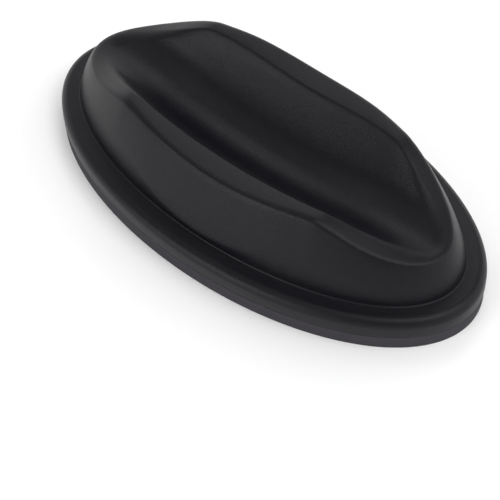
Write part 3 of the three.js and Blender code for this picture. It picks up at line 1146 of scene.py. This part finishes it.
# %% [markdown]
# ## The plate screws
#
# Eight self-tapping screws with countersunk heads hold the closing plate. Such a screw is
# cold headed from wire, and its coarse thread is rolled, so the thread stands a little proud
# of the shank's core. A bump could only hint at that. The tree makes one screw, head down: a
# turned body of four parts, a thread from a spiral with a three-cornered section, and a
# square recess cut into the head. Then it puts one on every point. The thread's ends stay
# clear of the planes where two turned parts meet, which keeps the union clean.

# %% A tree for screws on points
THREAD_STEPS = 40
THREAD_CORNERS = 3
SCREW_LENGTHS = (
    "Base", "Edge Top", "Head Top", "Point Start", "Point End", "Head Radius",
    "Core Radius", "Thread Depth", "Thread Start", "Thread Length",
)


def turned_part(tree, low, high, low_radius, high_radius=None):
    """A round part between two heights; without an upper radius it ends in a point."""
    depth = add_node(tree, "ShaderNodeMath", operation="SUBTRACT", links={0: high, 1: low})
    radii = {"Radius Bottom": low_radius, "Depth": depth}
    if high_radius is not None:
        radii["Radius Top"] = high_radius
    cone = add_node(
        tree, "GeometryNodeMeshCone", links=radii,
        values={"Vertices": ROUND_SIDES, "Radius Top": 0.0},
    )
    return raised(tree, cone, low)


def screw_tree():
    """A whole screw on every point of a mesh, head down."""
    inputs = {"Points": "Geometry", "Turns": "Float", **dict.fromkeys(SCREW_LENGTHS, "Float")}
    tree, given = geometry_tree("screws", {**inputs, "Recess Size": "Vector"})
    head, core = given["Head Radius"], given["Core Radius"]
    parts = [
        turned_part(tree, given["Base"], given["Edge Top"], head, head),
        turned_part(tree, given["Edge Top"], given["Head Top"], head, core),
        turned_part(tree, given["Head Top"], given["Point Start"], core, core),
        turned_part(tree, given["Point Start"], given["Point End"], core),
    ]
    spiral = add_node(
        tree, "GeometryNodeCurveSpiral", values={"Resolution": THREAD_STEPS}, links={
            "Rotations": given["Turns"], "Height": given["Thread Length"],
            "Start Radius": core, "End Radius": core,
        },
    )
    ridge = add_node(
        tree, "GeometryNodeCurvePrimitiveCircle",
        values={"Resolution": THREAD_CORNERS}, links={"Radius": given["Thread Depth"]},
    )
    thread = add_node(
        tree, "GeometryNodeCurveToMesh", values={"Fill Caps": True},
        links={"Curve": spiral, "Profile Curve": ridge},
    )
    parts.append(raised(tree, thread, given["Thread Start"]))
    whole = add_node(
        tree, "GeometryNodeMeshBoolean", operation="UNION", solver="MANIFOLD",
        links={"Mesh 2": parts},
    )
    recess = add_node(tree, "GeometryNodeMeshCube", links={"Size": given["Recess Size"]})
    cut_out = add_node(
        tree, "GeometryNodeMeshBoolean", operation="DIFFERENCE", solver="MANIFOLD",
        links={"Mesh 1": whole, "Mesh 2": raised(tree, recess, given["Base"])},
    )
    close_tree(tree, given, cut_out, given["Points"])
    return tree


screw_kind = screw_tree()
print("screw tree:", len(screw_kind.nodes), "nodes")

# %% [markdown]
# The sizes are those of a common screw for plastic. Its recess is square, and a square's
# side is its diagonal times the root of a half.

# %% The screws
SCREW_POINT_LENGTH = 3
SCREW_HEAD_DIAMETER = 7.4
SCREW_HEAD_HEIGHT = 2.1
SCREW_HEAD_EDGE = 0.4
SCREW_RECESS_DIAMETER = 2.6
SCREW_RECESS_DEPTH = 1.2
THREAD_PITCH = 1.4
THREAD_DEPTH = 0.45
THREAD_RUN_OUT = 0.5

screw_base = SHELL_BASE + FIT_CLEARANCE
head_top = screw_base + SCREW_HEAD_HEIGHT
point_start = SHELL_BASE + SCREW_LENGTH - SCREW_POINT_LENGTH
thread_start = head_top + THREAD_RUN_OUT
thread_length = point_start - THREAD_RUN_OUT - thread_start
recess_side = SCREW_RECESS_DIAMETER * math.sqrt(0.5)
screw_lengths = metres(
    screw_base, screw_base + SCREW_HEAD_EDGE, head_top, point_start,
    SHELL_BASE + SCREW_LENGTH - FIT_CLEARANCE, SCREW_HEAD_DIAMETER / 2,
    SCREW_DIAMETER / 2 - THREAD_DEPTH, THREAD_DEPTH, thread_start, thread_length,
)
screws = grown("plate_screws", screw_kind, {
    **dict(zip(SCREW_LENGTHS, screw_lengths)), "Turns": thread_length / THREAD_PITCH,
    "Recess Size": metres(recess_side, recess_side, 2 * SCREW_RECESS_DEPTH),
    "Material": plated_steel,
}, screw_points)
finish_surface(screws, plated_steel)
print("screws:", len(screws.data.polygons), "faces on", len(screw_points), "points")

# %% [markdown]
# ## Finishing
#
# The closing plate and the adhesive sheet are hidden under the block, and their measured
# meshes are already right. They stay and only get their own materials.

# %% Materials on the pieces that stay
for node, material in (("closing_plate", plate_plastic), ("adhesive_sheet", foam)):
    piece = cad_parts[node]
    piece.data.materials.clear()
    piece.data.materials.append(material)
    print(node, "is finished in", material.name)

# %% [markdown]
# Each made piece rides on the block's one body and stands for its CAD nodes.

# %% Ride and replace
screw_nodes = [f"plate_screw_{number + 1}" for number in range(len(screw_points))]
made = (
    (shell, "moulded_shell", ["block_shell"]), (pad, "rubber_pad", ["base_pad"]),
    (screws, "steel_screw", screw_nodes),
)
for piece, slot, nodes in made:
    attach(piece, "root")
    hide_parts(*nodes)
    print(piece.name, "stands for", len(nodes), "of the CAD nodes")
